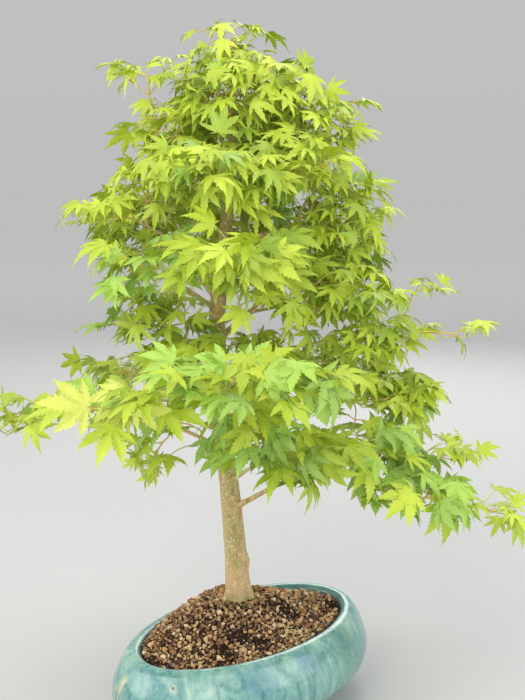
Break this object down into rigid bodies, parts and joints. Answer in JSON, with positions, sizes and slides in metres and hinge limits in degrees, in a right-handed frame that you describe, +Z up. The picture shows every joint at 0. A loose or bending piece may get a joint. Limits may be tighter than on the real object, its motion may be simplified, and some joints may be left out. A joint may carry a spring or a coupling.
{
  "type": "potted bonsai maple",
  "caption": "Miniature Japanese maple in fresh spring leaf, with a bare lower trunk, tiered boughs and a long low right-hand branch, in a teal glazed oval pot of gritty soil.",
  "frame": {"origin": "centre of the pot's flat underside, where the pot stands", "axes": "+Z up along the trunk; -Y is the tree's best side, the one a viewer stands at; +X is to that viewer's right, where the long low branch reaches; the pot's long axis lies 42 degrees from +X towards +Y"},
  "size_m": [0.5027, 0.4214, 0.6851],
  "materials": {
    "glaze": "glossy mottled teal glaze",
    "soil": "loose mixed grit, matt",
    "bark": "young bark with a green tint, matt",
    "foliage": "soft leaves, slightly glossy above"
  },
  "bodies": {
    "root": {"bough_back_left": "bark", "bough_back_low_left": "bark", "bough_back_low_right": "bark", "bough_back_right": "bark", "bough_front": "bark", "bough_front_left": "bark", "bough_front_low": "bark", "bough_front_mid": "bark", "bough_front_right_low": "bark", "bough_left_arm": "bark", "bough_left_mid": "bark", "bough_left_mid_low": "bark", "bough_left_shoulder": "bark", "bough_low_left": "bark", "bough_low_right": "bark", "bough_right_fork": "bark", "bough_right_mid": "bark", "bough_right_mid_low": "bark", "bough_right_reach": "bark", "leaves_back_left": "foliage", "leaves_back_low_left": "foliage", "leaves_back_low_right": "foliage", "leaves_back_right": "foliage", "leaves_back_upper": "foliage", "leaves_front": "foliage", "leaves_front_left": "foliage", "leaves_front_low": "foliage", "leaves_front_mid": "foliage", "leaves_front_right_low": "foliage", "leaves_front_upper": "foliage", "leaves_inner_low": "foliage", "leaves_inner_upper": "foliage", "leaves_left_arm": "foliage", "leaves_left_arm_tip": "foliage", "leaves_left_drop": "foliage", "leaves_left_low": "foliage", "leaves_left_low_top": "foliage", "leaves_left_lower_mid": "foliage", "leaves_left_mid": "foliage", "leaves_left_shoulder": "foliage", "leaves_left_upper_mid": "foliage", "leaves_low_right_tip": "foliage", "leaves_low_right_top": "foliage", "leaves_right_inner": "foliage", "leaves_right_low": "foliage", "leaves_right_low_front": "foliage", "leaves_right_low_mid": "foliage", "leaves_right_mid": "foliage", "leaves_right_mid_tip": "foliage", "leaves_right_reach": "foliage", "leaves_right_reach_tip": "foliage", "leaves_right_shoulder": "foliage", "leaves_top": "foliage", "leaves_upper_crown": "foliage", "leaves_upper_left": "foliage", "leaves_upper_left_tip": "foliage", "leaves_upper_right": "foliage", "pot": "glaze", "soil": "soil", "trunk": "bark"}
  },
  "joints": []
}
